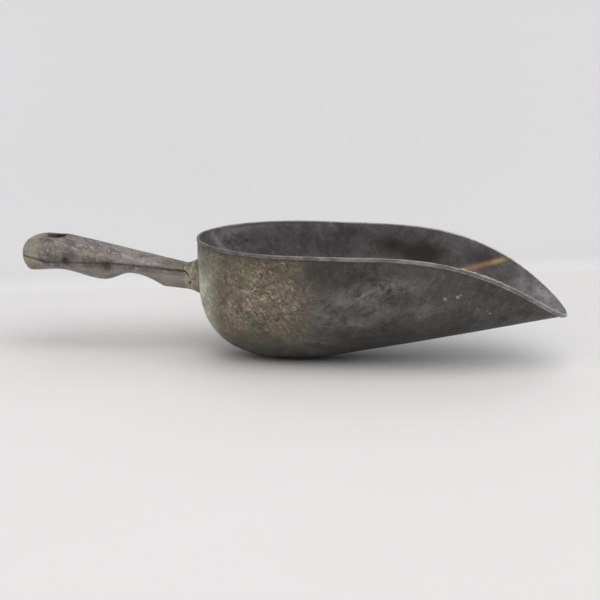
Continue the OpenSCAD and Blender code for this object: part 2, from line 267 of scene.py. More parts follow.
class Finish:
    """One material's node tree, with short calls for the nodes that the finishes share."""

    def __init__(self, name):
        self.material = bpy.data.materials.new(name)
        self.material.use_nodes = True
        self.tree = self.material.node_tree
        self.shader = self.tree.nodes["Principled BSDF"]
        self.place = self.node("ShaderNodeTexCoord").outputs["Object"]

    def node(self, kind, **settings):
        made = self.tree.nodes.new(kind)
        for key, value in settings.items():
            setattr(made, key, value)
        return made

    def plug(self, socket, value):
        if isinstance(value, bpy.types.NodeSocket):
            self.tree.links.new(value, socket)
        elif isinstance(value, tuple) and len(value) == 3 and len(socket.default_value) == 4:
            socket.default_value = (*value, 1)
        else:
            socket.default_value = value

    def noise(self, size, detail=4.0, rough=0.55, seed=0.0, stretch=(1, 1, 1), turn=(0, 0, 0), swirl=0.0):
        """Noise from 0 to 1 with lumps of about the given size in mm, drawn out by stretch."""
        mapping = self.node("ShaderNodeMapping")
        self.plug(mapping.inputs["Vector"], self.place)
        mapping.vector_type = "TEXTURE"
        mapping.inputs["Scale"].default_value = stretch
        mapping.inputs["Rotation"].default_value = [math.radians(a) for a in turn]
        mapping.inputs["Location"].default_value = (seed, seed * 0.7, seed * 0.3)
        made = self.node("ShaderNodeTexNoise")
        self.plug(made.inputs["Vector"], mapping.outputs["Vector"])
        made.inputs["Scale"].default_value = 1 / (size * MM)
        made.inputs["Detail"].default_value = detail
        made.inputs["Roughness"].default_value = rough
        made.inputs["Distortion"].default_value = swirl
        return made.outputs["Fac"]

    def span(self, value, low, high, to_low=0.0, to_high=1.0):
        """Smooth run of a value between two levels."""
        made = self.node("ShaderNodeMapRange", interpolation_type="SMOOTHSTEP")
        self.plug(made.inputs["Value"], value)
        made.inputs["From Min"].default_value = low
        made.inputs["From Max"].default_value = high
        made.inputs["To Min"].default_value = to_low
        made.inputs["To Max"].default_value = to_high
        return made.outputs["Result"]

    def sum(self, a, b):
        return self.calculate("ADD", a, b)

    def product(self, a, b):
        return self.calculate("MULTIPLY", a, b)

    def calculate(self, operation, a, b):
        made = self.node("ShaderNodeMath", operation=operation)
        self.plug(made.inputs[0], a)
        self.plug(made.inputs[1], b)
        return made.outputs["Value"]

    def blend(self, amount, a, b):
        made = self.node("ShaderNodeMix", data_type="RGBA")
        self.plug(made.inputs["Factor"], amount)
        self.plug(made.inputs[6], a)
        self.plug(made.inputs[7], b)
        return made.outputs[2]

    def painted(self, name):
        return self.node("ShaderNodeAttribute", attribute_name=name).outputs["Fac"]

    def paints(self, colour, **shades):
        """Lays painted masks over a colour, one after the other."""
        for name, shade in shades.items():
            colour = self.blend(self.painted(name), colour, shade)
        return colour

    def finish(self, colour, metallic, roughness, relief, depth):
        """Connects the shader. depth is the height of the relief in mm."""
        self.plug(self.shader.inputs["Base Color"], colour)
        self.plug(self.shader.inputs["Metallic"], metallic)
        self.plug(self.shader.inputs["Roughness"], roughness)
        bump = self.node("ShaderNodeBump")
        bump.inputs["Strength"].default_value = 1.0
        bump.inputs["Distance"].default_value = depth * MM
        self.plug(bump.inputs["Height"], relief)
        self.plug(self.shader.inputs["Normal"], bump.outputs["Normal"])
        return self.material


def outside_finish():
    """Dull dark casting with brown and green patina, pale flecks at the back and a painted green sheen at its
    back edge.
    """
    f = Finish("bowl_outside")
    colour = f.blend(f.span(f.noise(36, 4, 0.6, 1.3), 0.4, 0.6), (0.042, 0.04, 0.037), (0.072, 0.069, 0.066))
    mottle = f.span(f.noise(5, 5, 0.68, 1.9), 0.44, 0.62)
    colour = f.blend(f.product(mottle, 0.5), colour, (0.112, 0.108, 0.102))
    wiped = f.noise(3.0, 6, 0.66, 2.1, (4, 4, 1), (0, -52, 0), 0.4)
    colour = f.blend(f.product(f.span(wiped, 0.5, 0.68), 0.28), colour, (0.21, 0.206, 0.197))
    veil = f.span(f.noise(6, 6, 0.68, 2.9, (1.6, 1.6, 1), (0, -40, 0), 0.8), 0.38, 0.6)
    colour = f.blend(f.product(f.painted("cloud"), veil), colour, (0.265, 0.258, 0.25))
    ground = f.blend(f.span(f.noise(8, 5, 0.65, 3.7), 0.42, 0.58), (0.205, 0.152, 0.105), (0.2, 0.19, 0.125))
    colour = f.blend(f.product(f.painted("patina"), 0.8), colour, ground)
    # Pale green down the back edge: a painted reflection of side light.
    strip = f.blend(f.span(f.noise(5, 4, 0.6, 4.1), 0.4, 0.6), (0.46, 0.46, 0.33), (0.74, 0.75, 0.6))
    colour = f.blend(f.painted("green"), colour, strip)
    cluster = f.span(f.noise(7, 5, 0.7, 5.9), 0.4, 0.6)
    grain = f.noise(2.1, 8, 0.82, 5.2, (1.7, 1.3, 1), (0, 44, 0), 0.15)
    fleck = f.span(grain, 0.46, 0.62)
    pale = f.blend(f.span(f.noise(6, 4, 0.6, 6.1), 0.42, 0.58), (0.52, 0.42, 0.27), (0.54, 0.41, 0.36))
    fleck = f.product(f.product(f.painted("fleck"), fleck), f.sum(f.product(cluster, 0.85), 0.28))
    colour = f.blend(fleck, colour, pale)
    pits = f.span(f.noise(1.9, 6, 0.78, 7.7), 0.42, 0.5, 1.0, 0.0)
    colour = f.blend(f.product(f.product(f.painted("fleck"), pits), 0.75), colour, (0.07, 0.052, 0.036))
    specks = f.span(f.noise(1.2, 4, 0.72, 8.3), 0.58, 0.68)
    colour = f.blend(f.product(specks, 0.3), colour, (0.34, 0.32, 0.29))
    smudge = f.span(f.noise(12, 6, 0.68, 8.9), 0.5, 0.66)
    colour = f.blend(f.product(smudge, 0.42), colour, (0.045, 0.039, 0.034))
    # Darker just under the bead: painted shade with grime.
    colour = f.paints(colour, dark=(0.042, 0.037, 0.033), bare=(0.6, 0.59, 0.58),
                      grime=(0.07, 0.052, 0.036))
    roughness = f.span(f.noise(9, 5, 0.6, 8.8), 0.3, 0.7, 0.4, 0.58)
    relief = f.sum(f.noise(1.0, 5, 0.65, 9.1), f.product(f.noise(4.0, 3, 0.5, 4.4), 1.2))
    return f.finish(colour, 0.55, roughness, relief, 0.05)


def inside_finish():
    """Smoother, purplish grey with faint brushed streaks and one rusty line near the mouth."""
    f = Finish("bowl_inside")
    colour = f.blend(f.span(f.noise(30, 5, 0.6, 1.9), 0.38, 0.62), (0.104, 0.09, 0.094), (0.186, 0.171, 0.18))
    mottle = f.span(f.noise(4, 5, 0.68, 2.2), 0.44, 0.62)
    colour = f.blend(f.product(mottle, 0.35), colour, (0.215, 0.2, 0.2))
    wiped = f.noise(3.0, 6, 0.66, 2.8, (4, 4, 1), (0, 48, 0), 0.7)
    colour = f.blend(f.product(f.span(wiped, 0.5, 0.7), 0.28), colour, (0.33, 0.32, 0.32))
    veil = f.span(f.noise(6, 6, 0.68, 3.3, (1.6, 1.6, 1), (0, 50, 0), 0.8), 0.4, 0.6)
    colour = f.blend(f.product(f.painted("cloud"), veil), colour, (0.36, 0.345, 0.345))
    smudge = f.span(f.noise(11, 6, 0.68, 4.2), 0.48, 0.64)
    colour = f.blend(f.product(smudge, 0.5), colour, (0.072, 0.06, 0.055))
    specks = f.span(f.noise(1.2, 4, 0.72, 4.9), 0.58, 0.68)
    colour = f.blend(f.product(specks, 0.25), colour, (0.3, 0.29, 0.29))
    colour = f.paints(colour, dark=(0.047, 0.04, 0.038), bare=(0.46, 0.45, 0.465),
                      grime=(0.045, 0.04, 0.04))
    rust = f.blend(f.painted("yellow"), (0.46, 0.27, 0.14), (0.58, 0.43, 0.2))
    rusty = f.product(f.painted("stain"), f.span(f.noise(1.6, 5, 0.7, 5.5), 0.18, 0.5))
    colour = f.blend(rusty, colour, rust)
    roughness = f.span(f.noise(11, 5, 0.6, 6.3), 0.3, 0.7, 0.42, 0.58)
    relief = f.sum(f.noise(1.4, 4, 0.6, 7.2), f.product(wiped, 0.8))
    return f.finish(colour, 0.55, roughness, relief, 0.03)


def rim_finish():
    """Bead brighter than the rest, with wear and painted highlights on its corners, dark flats and bright
    nicks.
    """
    f = Finish("bowl_rim")
    colour = f.blend(f.span(f.noise(9, 5, 0.65, 0.4), 0.4, 0.6), (0.145, 0.134, 0.129), (0.26, 0.247, 0.243))
    scuffs = f.span(f.noise(2.4, 5, 0.7, 1.6, (3, 1, 1)), 0.5, 0.64)
    colour = f.blend(f.product(scuffs, 0.5), colour, (0.08, 0.07, 0.064))
    # Lighter corners of the bead: wear with painted highlights.
    colour = f.blend(f.product(f.painted("edge"), f.span(f.noise(3, 5, 0.7, 1.1), 0.32, 0.58)), colour,
                     (0.56, 0.545, 0.54))
    colour = f.paints(colour, bare=(0.95, 0.94, 0.93), grime=(0.06, 0.046, 0.036))
    roughness = f.span(f.noise(4, 5, 0.6, 2.2), 0.3, 0.7, 0.4, 0.58)
    return f.finish(colour, 0.6, roughness, f.noise(1.3, 4, 0.6, 3.3), 0.035)


def collar_finish():
    """Warm, slightly green grey with dark pits."""
    f = Finish("collar_alloy_aged")
    colour = f.blend(f.span(f.noise(5, 5, 0.65, 0.9), 0.4, 0.6), (0.225, 0.19, 0.14), (0.4, 0.375, 0.285))
    pits = f.span(f.noise(1.6, 5, 0.7, 1.1), 0.52, 0.64)
    colour = f.blend(f.product(pits, 0.6), colour, (0.1, 0.076, 0.05))
    specks = f.span(f.noise(2.1, 4, 0.65, 1.7), 0.54, 0.66)
    colour = f.blend(f.product(specks, 0.6), colour, (0.58, 0.55, 0.38))
    # The lighter ridge is a painted highlight.
    colour = f.paints(colour, patina=(0.15, 0.115, 0.08), bare=(0.56, 0.54, 0.44),
                      grime=(0.05, 0.038, 0.028), seam=(0.028, 0.023, 0.018))
    roughness = f.span(f.noise(5, 5, 0.6, 2.7), 0.3, 0.7, 0.46, 0.64)
    relief = f.sum(f.noise(1.2, 5, 0.65, 3.9), f.noise(3.5, 3, 0.5, 4.8))
    return f.finish(colour, 0.55, roughness, relief, 0.07)


def grip_finish():
    """Hand-worn grey, purple on top, with a yellow-green butt and painted shade with soil by the parting
    line.
    """
    f = Finish("grip_alloy_aged")
    colour = f.blend(f.span(f.noise(11, 5, 0.66, 0.2), 0.4, 0.6), (0.118, 0.107, 0.107), (0.27, 0.252, 0.257))
    tint = f.span(f.noise(6, 5, 0.65, 0.8), 0.44, 0.6)
    colour = f.blend(f.product(tint, 0.5), colour, (0.245, 0.2, 0.15))
    colour = f.blend(f.product(f.painted("green"), f.span(f.noise(4, 5, 0.68, 1.2), 0.28, 0.52)), colour,
                     (0.46, 0.445, 0.32))
    flecks = f.span(f.noise(1.8, 5, 0.7, 1.4, (2.2, 1, 1), (0, 15, 0), 0.4), 0.52, 0.64)
    colour = f.blend(f.product(flecks, 0.6), colour, (0.5, 0.47, 0.44))
    spots = f.span(f.noise(2.2, 6, 0.74, 2.6, (0.6, 1, 1)), 0.52, 0.64)
    colour = f.blend(f.product(spots, 0.75), colour, (0.105, 0.08, 0.064))
    colour = f.blend(f.product(f.painted("patina"), 0.7), colour, (0.175, 0.12, 0.082))
    # Painted shade with dirt along the parting line.
    dirt_and_shade = f.product(f.painted("grime"), f.span(f.noise(3.6, 6, 0.72, 3.1), 0.3, 0.58))
    colour = f.blend(dirt_and_shade, colour, (0.13, 0.108, 0.09))
    # Pale wear, and low near the butt a painted reflection of the floor.
    colour = f.paints(colour, bare=(0.5, 0.475, 0.45), seam=(0.028, 0.022, 0.017))
    roughness = f.span(f.noise(8, 5, 0.6, 4.9), 0.3, 0.7, 0.56, 0.72)
    relief = f.sum(f.noise(1.2, 5, 0.65, 5.7), f.product(f.noise(4.5, 3, 0.5, 6.6), 1.4))
    return f.finish(colour, 0.55, roughness, relief, 0.08)


def core_finish():
    """Plain dull bar stock, for the tang and the pins."""
    f = Finish("core_alloy_dull")
    colour = f.blend(f.span(f.noise(6, 4, 0.6, 0.7), 0.35, 0.65), (0.085, 0.07, 0.056), (0.14, 0.125, 0.108))
    colour = f.blend(f.span(f.noise(1.8, 4, 0.65, 1.8), 0.56, 0.68), colour, (0.055, 0.044, 0.034))
    roughness = f.span(f.noise(3, 5, 0.6, 2.4), 0.3, 0.7, 0.46, 0.66)
    return f.finish(colour, 0.55, roughness, f.noise(1.0, 4, 0.6, 3.5), 0.03)


# =============================== bowl ===============================

def half_width(x):
    share = np.maximum(0, (x - DOME_L) / (BOWL_L - DOME_L))
    return WALL_W / 2 * (1 - TAPER * share ** SIDE_POW)


def keel_depth(x):
    return BOWL_H - RISE * bend(x - DOME_L, KEEL_BLEND)


def rim_depth(x):
    return keel_depth(BOWL_L) * np.maximum(0, (x - DIP_START) / (BOWL_L - DIP_START)) ** DIP_POW


def section_power(x):
    return SECTION_POW + (TIP_POW - SECTION_POW) * np.maximum(0, (x - DOME_L) / (BOWL_L - DOME_L))


def front_sheet(q, g):
    """Outer wall in front of the deepest place: q 0 is the tip, g 0 is the rim and g 1 the keel."""
    rim_x = DOME_L + (BOWL_L - DOME_L) * np.cos(np.pi / 2 * q)
    start = np.arcsin(np.minimum(1, (rim_depth(rim_x) / keel_depth(rim_x)) ** (section_power(rim_x) / 2)))
    x = rim_x + (1 - SPINE_SHARE) * (DOME_L - rim_x) * g
    angle = start + (np.pi / 2 - start) * g
    power = 2 / section_power(x)
    y = half_width(x) * np.maximum(0, np.cos(angle)) ** power
    z = BOWL_H - keel_depth(x) * np.maximum(0, np.sin(angle)) ** power
    return np.stack([x, y, z], axis=-1)


def back_sheet(turn, g):
    """Outer wall behind it: turn 0 is to the side and 1 is straight back."""
    c = np.maximum(0, np.cos(np.pi / 2 * turn))
    s = np.maximum(0, np.sin(np.pi / 2 * turn))
    reach = np.maximum(0, np.cos(np.pi / 2 * g)) ** (2 / blend_pow(BACK_REACH_POW, s ** 2))
    x = DOME_L - reach * WALL_L * s ** (2 / PLAN_POW)
    y = reach * WALL_W / 2 * c ** (2 / PLAN_POW)
    z = BOWL_H - BOWL_H * np.maximum(0, np.sin(np.pi / 2 * g)) ** (2 / blend_pow(BACK_DROP_POW, s ** 2))
    return np.stack([x, y, z], axis=-1)


def blend_pow(power, part):
    """Power between the one at the sides and the given one at the back."""
    return SECTION_POW + (power - SECTION_POW) * part


def sheet(q, g):
    """Outer wall of one side, from the tip (q 0) past the deepest place (1) to the middle back (2)."""
    q, g = np.broadcast_arrays(q, g)
    side = np.where((q < 0) | (q > 2), -1.0, 1.0)
    q = np.abs(q)
    q = np.where(q > 2, 4 - q, q)
    front = front_sheet(np.minimum(q, 1), g)
    back = back_sheet(np.maximum(q, 1) - 1, g)
    place = np.where((q < 1)[..., None], front, back)
    place[..., 1] *= side
    return place


def sheet_normal(q, g):
    """Outward normal of the outer wall."""
    step = 1e-4
    along = sheet(q + step, g) - sheet(q - step, g)
    down = sheet(q, np.minimum(1, g + step)) - sheet(q, np.maximum(0, g - step))
    normal = unit(np.cross(down, along))
    x = sheet(q, np.ones_like(g))[..., 0]
    slope = RISE * np.clip((x - DOME_L) / KEEL_BLEND, 0, 1)
    keel = unit(np.stack([slope, np.zeros_like(slope), -np.ones_like(slope)], axis=-1))
    return np.where((g > 0.998)[..., None], keel, normal)


def share_of(q, length):
    """Share of each mesh line that the given length below the rim takes up."""
    low, high = np.zeros_like(q), np.full_like(q, 0.5)
    rim = sheet(q, np.zeros_like(q))
    for _ in range(24):
        mid = (low + high) / 2
        short = np.linalg.norm(sheet(q, mid) - rim, axis=-1) < length
        low, high = np.where(short, mid, low), np.where(short, high, mid)
    return high


def bead_outline(height, reach, corner):
    """Outline of the bead from the inner wall over the top to the outer wall, as (out, down) pairs."""
    turn = np.linspace(0, np.pi / 2, 9)
    run = np.linspace(0, 1, 9)[1:-1]
    inner = [(-RIM_WALL + corner * (1 - math.cos(a)), corner * (1 - math.sin(a))) for a in turn]
    top = [(-RIM_WALL + corner + (RIM_WALL + reach - 2 * corner) * t, 0) for t in run]
    outer = [(reach - corner * (1 - math.sin(a)), corner * (1 - math.cos(a))) for a in turn]
    face = [(reach, corner + (height - reach - corner) * t) for t in run]
    under = [(reach * math.cos(a), height - reach * (1 - math.sin(a))) for a in turn]
    return np.array(inner + top + outer + face + under)


BEAD_POINTS = 9 * 3 + 7 * 2


def bowl_grid():
    """All mesh lines of the bowl, each from the inner keel over the bead to the outer keel."""
    q = np.concatenate([np.linspace(0, 1, FRONT_LINES + 1), 1 + np.linspace(0, 1, BACK_LINES + 1)[1:]])
    height = BEAD_H + (BEAD_TIP_H - BEAD_H) * np.cos(np.pi / 2 * np.minimum(1, q)) ** 2
    reach = BEAD_BACK_OUT + (BEAD_OUT - BEAD_BACK_OUT) * np.cos(np.pi / 2 * np.maximum(0, q - 1)) ** 2
    corner = BEAD_CORNER + (BEAD_TIP_CORNER - BEAD_CORNER) * ramp(q, 0.95, 0.5)
    first = share_of(q, height + reach / 2)
    shares = first[:, None] + (1 - first[:, None]) * np.linspace(0, 1, WALL_ROWS)
    wide_q = np.broadcast_to(q[:, None], shares.shape)
    outer = sheet(wide_q, shares)
    rim = sheet(q, np.zeros_like(q))
    below_rim = np.linalg.norm(outer - rim[:, None], axis=-1)
    thick = WALL - (WALL - RIM_WALL) * np.maximum(0, 1 - below_rim / RIM_FADE) ** 2
    inner = outer - thick[..., None] * sheet_normal(wide_q, shares)
    out = sheet_normal(q, np.zeros_like(q))
    along = unit(sheet(q + 1e-4, np.zeros_like(q)) - sheet(q - 1e-4, np.zeros_like(q)))
    down = np.cross(along, out)
    outline = np.array([bead_outline(*sizes) for sizes in zip(height, reach, corner)])
    bead = rim[:, None] + outline[..., :1] * out[:, None] + outline[..., 1:] * down[:, None]
    half = np.concatenate([inner[:, ::-1], bead, outer], axis=1)
    mirrored = half[-2:0:-1] * [1, -1, 1]
    return np.concatenate([half, mirrored], axis=0)


def wear_bowl(grid):
    """Moves the points by the unevenness, knocks and pits of a used casting."""
    normals = grid_normals(grid, True)
    normals[:, 0] = [0, 0, 1]
    normals[:, -1] = [0, 0, -1]
    normals[:, 1] = normals[:, 2]
    normals[:, -2] = normals[:, -3]
    rows = np.arange(grid.shape[1])
    inner = (rows < WALL_ROWS)[None, :]
    outer = (rows >= WALL_ROWS + BEAD_POINTS)[None, :]
    bead = ~(inner | outer)
    x, y, z = grid[..., 0], grid[..., 1], grid[..., 2]
    lift = np.where(inner, cast_skin(grid, 11), cast_skin(grid, 31))
    lift = np.where(bead, 0.07 * lumps(grid, 13, 51) + 0.035 * lumps(grid, 4.5, 52), lift)
    rough_back = ramp(x, 85, 30) * outer
    lift = lift + rough_back * (0.035 * lumps(grid, 3.1, 61) + 0.02 * lumps(grid, 1.7, 62))
    brushed = np.stack([x * 0.2 + z * 0.16, y * 0.2, z * 0.9 - x * 0.5], axis=-1)
    lift = lift + np.where(bead, 0, 0.014) * lumps(brushed, 2.4, 71)
    lift = lift * np.where(inner, 1, ramp(z, 0, CLEAR_OF_FLOOR))
    lift = lift - outer * dings(x, y, z) - inner * inside_pit(x, y, z)
    lift = lift - bead * rim_nicks(x, y)
    return grid + normals * lift[..., None]


# Small knocks on the front of the near side: shares of the bowl's length and height, and a radius.
DINGS = [(0.687, 0.662, 0.8), (0.692, 0.637, 0.6), (0.72, 0.678, 0.7), (0.728, 0.694, 0.5),
         (0.7, 0.598, 0.4), (0.75, 0.552, 0.5), (0.77, 0.572, 0.4), (0.802, 0.521, 0.5),
         (0.794, 0.547, 0.35), (0.62, 0.492, 0.4), (0.54, 0.612, 0.4)]

# Bright bare nicks in the near rim: share of the bowl's length, half-length and depth.
NICKS = [(0.732, 0.9, 0.35), (0.738, 0.5, 0.25), (0.752, 0.6, 0.22), (0.763, 0.9, 0.28),
         (0.79, 1.6, 0.18), (0.806, 2.2, 0.14), (0.828, 1.2, 0.12), (0.56, 0.5, 0.05)]

# Pale clouds on the near outside: shares of length and height, half-length, half-height, strength.
CLOUDS = [(0.288, 0.583, 7, 7, 0.6), (0.379, 0.479, 9, 6, 0.6), (0.459, 0.435, 10, 5, 0.6),
          (0.362, 0.254, 8, 3, 0.6), (0.405, 0.619, 10, 4, 0.5), (0.47, 0.68, 14, 5, 0.7),
          (0.56, 0.77, 17, 5, 0.6), (0.52, 0.56, 12, 5, 0.45), (0.64, 0.56, 14, 6, 0.35)]

# Pale clouds on the far inside.
INNER_CLOUDS = [(0.615, 0.84, 8, 6, 0.9), (0.684, 0.815, 9, 6, 0.8), (0.529, 0.871, 8, 5, 0.6),
                (0.56, 0.78, 8, 5, 0.5), (0.3, 0.93, 12, 4, 0.35), (0.88, 0.6, 12, 6, 0.4),
                (0.06, 0.85, 7, 9, 0.8), (0.94, 0.5, 9, 9, 0.6)]

# Dark patches on the far inside.
INNER_DARK = [(0.6, 0.8, 24, 9, 0.85), (0.5, 0.84, 9, 8, 0.6), (0.59, 0.72, 12, 6, 0.6),
              (0.76, 0.76, 11, 5, 0.6), (0.82, 0.6, 9, 4, 0.5), (0.4, 0.93, 9, 5, 0.5)]

# Rusty line down the far inside near the mouth: where it starts, its slope and its half-width.
STAIN_START, STAIN_END, STAIN_Z, STAIN_SLOPE, STAIN_W = 0.69, 0.852, 0.64, 0.33, 1.5


def patches(x, z, places):
    """Sum of soft round patches, given as shares of the bowl's length and height."""
    total = 0
    for along, up, long, high, strength in places:
        off_x = (x - along * BOWL_L) / long
        off_z = (z - up * BOWL_H) / high
        total = total + strength * np.exp(-off_x ** 2 - off_z ** 2)
    return np.minimum(total, 1)


def dings(x, y, z):
    depth = 0
    for along, up, radius in DINGS:
        away = np.hypot(x - along * BOWL_L, z - up * BOWL_H)
        depth = depth + 0.3 * radius * hump(away, 0, radius) * (y < 0)
    return depth


def inside_pit(x, y, z):
    away = np.hypot(x - 0.106 * BOWL_L, z - 0.857 * BOWL_H)
    return 0.4 * hump(away, 0, 0.75) * (y > 0)


def rim_nicks(x, y):
    depth = 0
    for along, reach, deep in NICKS:
        depth = depth + deep * hump(x, along * BOWL_L, reach) * (y < 0)
    return depth


def paint_bowl(grid):
    """Masks for the bowl's materials, one value per grid point."""
    x, y, z = grid[..., 0], grid[..., 1], grid[..., 2]
    rows = np.arange(grid.shape[1])
    everywhere = np.ones(grid.shape[:2])
    inner = (rows < WALL_ROWS) * everywhere
    outer = (rows >= WALL_ROWS + BEAD_POINTS) * everywhere
    bead = 1 - inner - outer
    near, far = (y < 0) * 1.0, (y >= 0) * 1.0
    clumps = 0.5 + 0.5 * lumps(grid, 17, 81)
    broken = 0.5 + 0.5 * lumps(grid, 5, 82)
    below_bead = np.linalg.norm(grid - grid[:, WALL_ROWS + BEAD_POINTS - 1][:, None], axis=-1)
    patina = outer * ramp(x, 92, 48) * ramp(z, -5, 22)
    patina = patina * (0.55 + 0.45 * ramp(clumps, 0.15, 0.5)) * ramp(x, 2, 14)
    ragged = x + 9 * lumps(grid, 13, 85) + 4 * lumps(grid, 5, 86)
    fleck = outer * ramp(ragged, 6, 20) * ramp(ragged, 82, 60) * ramp(z + 5 * lumps(grid, 11, 87), 10, 28)
    fleck = fleck * (0.45 + 0.55 * ramp(clumps, 0.2, 0.6))
    # Pale green at the back edge, fading out in patches further forward: a painted reflection of side light.
    green = ramp(x, 21, 5) + 0.5 * ramp(x, 34, 16) * ramp(clumps, 0.4, 0.8)
    green = outer * np.minimum(1, green) * ramp(z, -4, 18) * (0.6 + 0.4 * ramp(z, 62, 50))
    outer_clouds = near * patches(x, z, CLOUDS) + far * 0.8 * ramp(lumps(grid, 19, 83), 0.1, 0.7)
    inner_clouds = far * patches(x, z, INNER_CLOUDS) + near * 0.7 * ramp(lumps(grid, 19, 84), 0.1, 0.7)
    # The lower front of the outside is painted darker.
    belly = 0.7 * ramp(z, 34, 12) * ramp(x, 70, 115)
    below_rim = 0.5 * hump(x, 0.36 * BOWL_L, 14) * ramp(z, 52, 64)
    dark = outer * (belly + below_rim)
    # Just under the bead the outside is painted darker: painted shade under the overhang with grime.
    grime = outer * hump(below_bead, 0, 1.5) * (0.45 + 0.55 * broken) * (0.45 + 0.55 * ramp(x, 110, 60))
    grime = grime + outer * 0.5 * hump(below_bead, 5.5, 3.0) * ramp(x, 80, 20) * ramp(clumps, 0.1, 0.6)
    grime = grime + inner * (inside_pit(x, y, z) > 0.12)
    grime = grime + bead * 0.45 * ramp(x, 85, 35) * (0.5 + 0.5 * broken)
    bare = outer * np.clip(dings(x, y, z) * 4.5 * ramp(broken, 0.2, 0.6), 0, 0.8)
    bare = bare + bead * np.clip(rim_nicks(x, y) * 5, 0, 1) * bead_top(grid.shape[1])
    streak = hump(x - 0.034 * BOWL_L - 0.41 * (0.909 * BOWL_H - z), 0, 0.5 + 0.05 * (BOWL_H - z))
    bare = bare + inner * far * 0.6 * streak * ramp(z, BOWL_H - 24, BOWL_H - 14)
    along = x / BOWL_L
    line = z - STAIN_Z * BOWL_H - STAIN_SLOPE * (along - STAIN_START) * BOWL_L
    inside_line = inner * far * hump(line, 0, STAIN_W)
    stain = inside_line * ramp(along, STAIN_START - 0.03, STAIN_START + 0.02)
    stain = stain * ramp(along, STAIN_END + 0.01, STAIN_END - 0.01) * 0.85
    dark = dark + inner * far * patches(x, z, INNER_DARK)
    yellow = inner * hump(along, 0.805, 0.018)
    # Corners of the bead painted lighter: wear with painted highlights.
    edge = bead * bead_edges(grid.shape[1]) * (0.4 + 0.6 * broken) * (0.6 + 0.4 * ramp(x, 100, 170))
    cloud = outer * outer_clouds + inner * inner_clouds
    return {"patina": patina, "green": green, "fleck": fleck, "cloud": cloud, "dark": dark,
            "grime": grime, "bare": bare, "stain": stain, "yellow": yellow, "edge": edge}


def bead_top(rows):
    """Rows of the bead's top and of its inner edge, where the nicks show bright metal."""
    top = np.zeros(rows)
    top[WALL_ROWS + 2:WALL_ROWS + 13] = 1.0
    return top


def bead_edges(rows):
    """Lightening of each row of the bead, wear with painted highlight: its inner edge most, then its lower
    outer edge.
    """
    wear_and_highlight = np.zeros(rows)
    wear_and_highlight[WALL_ROWS + 1:WALL_ROWS + 12] = 1.0
    wear_and_highlight[WALL_ROWS + 17:WALL_ROWS + 23] = 0.35
    wear_and_highlight[WALL_ROWS + 31:WALL_ROWS + 36] = 0.45
    return wear_and_highlight


def bowl_faces(columns, rows):
    """Quads of the closed shell, with the mesh lines joined along the keel."""
    half = columns // 2
    side = np.minimum(np.arange(columns), columns - np.arange(columns))
    keel = np.minimum(side, FRONT_LINES)
    index = np.arange(columns * rows).reshape(columns, rows)
    index[:, 0] = index[keel, 0]
    index[:, -1] = index[keel, -1]
    ahead = np.roll(index, -1, axis=0)
    quads = np.stack([index[:, :-1], index[:, 1:], ahead[:, 1:], ahead[:, :-1]], axis=-1).reshape(-1, 4)
    row = np.tile(np.arange(rows - 1), columns)
    assert half == FRONT_LINES + BACK_LINES
    return quads, row


def make_bowl():
    grid = bowl_grid()
    worn = wear_bowl(grid)
    masks = paint_bowl(grid)
    quads, row = bowl_faces(*grid.shape[:2])
    used, compact = np.unique(quads, return_inverse=True)
    faces = [tuple(dict.fromkeys(face)) for face in compact.reshape(-1, 4).tolist()]
    keep = [i for i, face in enumerate(faces) if len(face) > 2]
    zone = np.where(row < WALL_ROWS, 1, np.where(row < WALL_ROWS + BEAD_POINTS, 2, 0))
    bowl = make_piece("bowl_shell", worn.reshape(-1, 3)[used], [faces[i] for i in keep],
                      [outside_finish(), inside_finish(), rim_finish()], zone[keep].tolist())
    for name, values in masks.items():
        paint(bowl, name, np.broadcast_to(values, grid.shape[:2]).reshape(-1)[used])
    return bowl


# =============================== collar ===============================

def reach_at(depth, part):
    """Reach of the back wall at a share of the depth; part is 1 straight back and 0 at the sides."""
    return (1 - depth ** blend_pow(BACK_DROP_POW, part)) ** (1 / blend_pow(BACK_REACH_POW, part))


def back_wall_x(y, z):
    """Where a line along X meets the outside of the back wall."""
    depth = (BOWL_H - z) / BOWL_H
    reach = reach_at(depth, 1 - (np.abs(y) / (reach_at(depth, 1) * WALL_W / 2)) ** PLAN_POW)
    return DOME_L - reach * WALL_L * quarter(np.abs(y) / (reach * WALL_W / 2), PLAN_POW)


